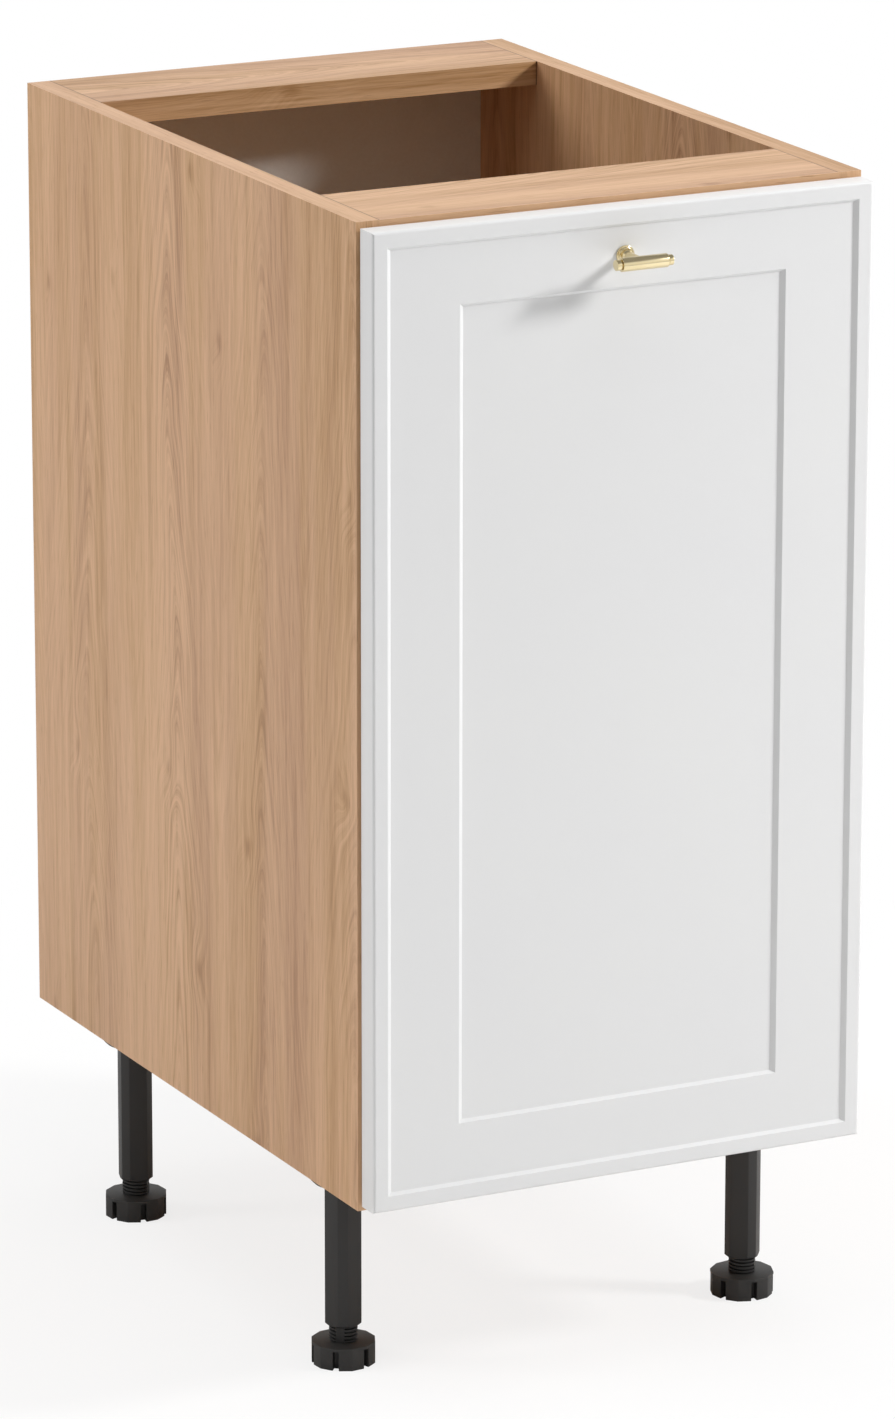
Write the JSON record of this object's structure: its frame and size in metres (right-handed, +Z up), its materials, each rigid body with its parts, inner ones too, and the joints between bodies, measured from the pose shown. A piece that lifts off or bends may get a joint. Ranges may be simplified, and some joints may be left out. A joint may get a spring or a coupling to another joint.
{
  "type": "tilt out vegetable bin cabinet",
  "caption": "Kitchen base cabinet with oak-decor carcass, white framed front that tilts out with a wire vegetable basket, brass bar knob and adjustable plastic legs.",
  "frame": {"origin": "on the floor plane under the middle of the whole cabinet, handle and back panel nails included", "axes": "+X to the right seen from the front, +Y to the back, +Z up"},
  "size_m": [0.4, 0.6156, 0.87],
  "materials": {
    "oak_board": "matt oak-decor board with lengthwise grain",
    "back_board": "thin light grey-beige fibre board, finely mottled",
    "door_lacquer": "satin white lacquer on milled fibre board",
    "brass": "polished pale brass",
    "black_plastic": "charcoal moulded plastic",
    "zinc_steel": "zinc-plated steel",
    "basket_wire": "light grey epoxy-coated steel wire",
    "white_plastic": "white moulded plastic",
    "clear_rubber": "soft translucent silicone",
    "beech": "fluted beech",
    "magnet": "dark ferrite magnet"
  },
  "bodies": {
    "cabinet": {"back_panel": "back_board", "back_panel_nails": "zinc_steel", "bottom_panel": "oak_board", "cam_bolts": "zinc_steel", "cam_locks": "zinc_steel", "catch_body": "white_plastic", "catch_magnet": "magnet", "catch_screws": "zinc_steel", "edge_bands": "oak_board", "front_top_rail": "oak_board", "hinge_cabinet_screws": "zinc_steel", "hinge_pins": "zinc_steel", "left_hinge_cabinet_leaf": "zinc_steel", "left_side_panel": "oak_board", "left_stay_guide": "white_plastic", "leg_plate_front_left": "black_plastic", "leg_plate_front_right": "black_plastic", "leg_plate_rear_left": "black_plastic", "leg_plate_rear_right": "black_plastic", "leg_plate_screws": "zinc_steel", "leg_tube_front_left": "black_plastic", "leg_tube_front_right": "black_plastic", "leg_tube_rear_left": "black_plastic", "leg_tube_rear_right": "black_plastic", "rear_top_rail": "oak_board", "right_hinge_cabinet_leaf": "zinc_steel", "right_side_panel": "oak_board", "right_stay_guide": "white_plastic", "stay_guide_screws": "zinc_steel", "wood_dowels": "beech"},
    "tilting_front": {"basket_hook_screws": "zinc_steel", "catch_strike_plate": "zinc_steel", "door_bumpers": "clear_rubber", "door_panel": "door_lacquer", "handle_bar": "brass", "handle_rosette": "brass", "handle_screw": "zinc_steel", "handle_stem": "brass", "hinge_door_screws": "zinc_steel", "left_hinge_door_leaf": "zinc_steel", "left_quadrant_stay": "zinc_steel", "lower_left_basket_hook": "zinc_steel", "lower_right_basket_hook": "zinc_steel", "right_hinge_door_leaf": "zinc_steel", "right_quadrant_stay": "zinc_steel", "stay_end_pins": "zinc_steel", "stay_screws": "zinc_steel", "strike_plate_screw": "zinc_steel", "upper_left_basket_hook": "zinc_steel", "upper_right_basket_hook": "zinc_steel"},
    "basket": {"basket_front_wall": "basket_wire", "basket_back_wall": "basket_wire", "basket_left_wall": "basket_wire", "basket_right_wall": "basket_wire", "basket_base": "basket_wire"},
    "foot_front_left": {"leg_foot_front_left": "black_plastic"},
    "foot_front_right": {"leg_foot_front_right": "black_plastic"},
    "foot_rear_left": {"leg_foot_rear_left": "black_plastic"},
    "foot_rear_right": {"leg_foot_rear_right": "black_plastic"}
  },
  "joints": [
    {"name": "front_tilt", "type": "hinge", "parent": "cabinet", "child": "tilting_front", "pos_m": [0, -0.2571, 0.1516], "axis": [1, 0, 0], "range_deg": [0, 35]},
    {"name": "basket_lift", "type": "slide", "parent": "tilting_front", "child": "basket", "axis": [0, 0, 1], "range_m": [0, 0.05]},
    {"name": "foot_height_front_left", "type": "slide", "parent": "cabinet", "child": "foot_front_left", "axis": [0, 0, 1], "range_m": [-0.015, 0.01]},
    {"name": "foot_height_front_right", "type": "slide", "parent": "cabinet", "child": "foot_front_right", "axis": [0, 0, 1], "range_m": [-0.015, 0.01]},
    {"name": "foot_height_rear_left", "type": "slide", "parent": "cabinet", "child": "foot_rear_left", "axis": [0, 0, 1], "range_m": [-0.015, 0.01]},
    {"name": "foot_height_rear_right", "type": "slide", "parent": "cabinet", "child": "foot_rear_right", "axis": [0, 0, 1], "range_m": [-0.015, 0.01]}
  ]
}
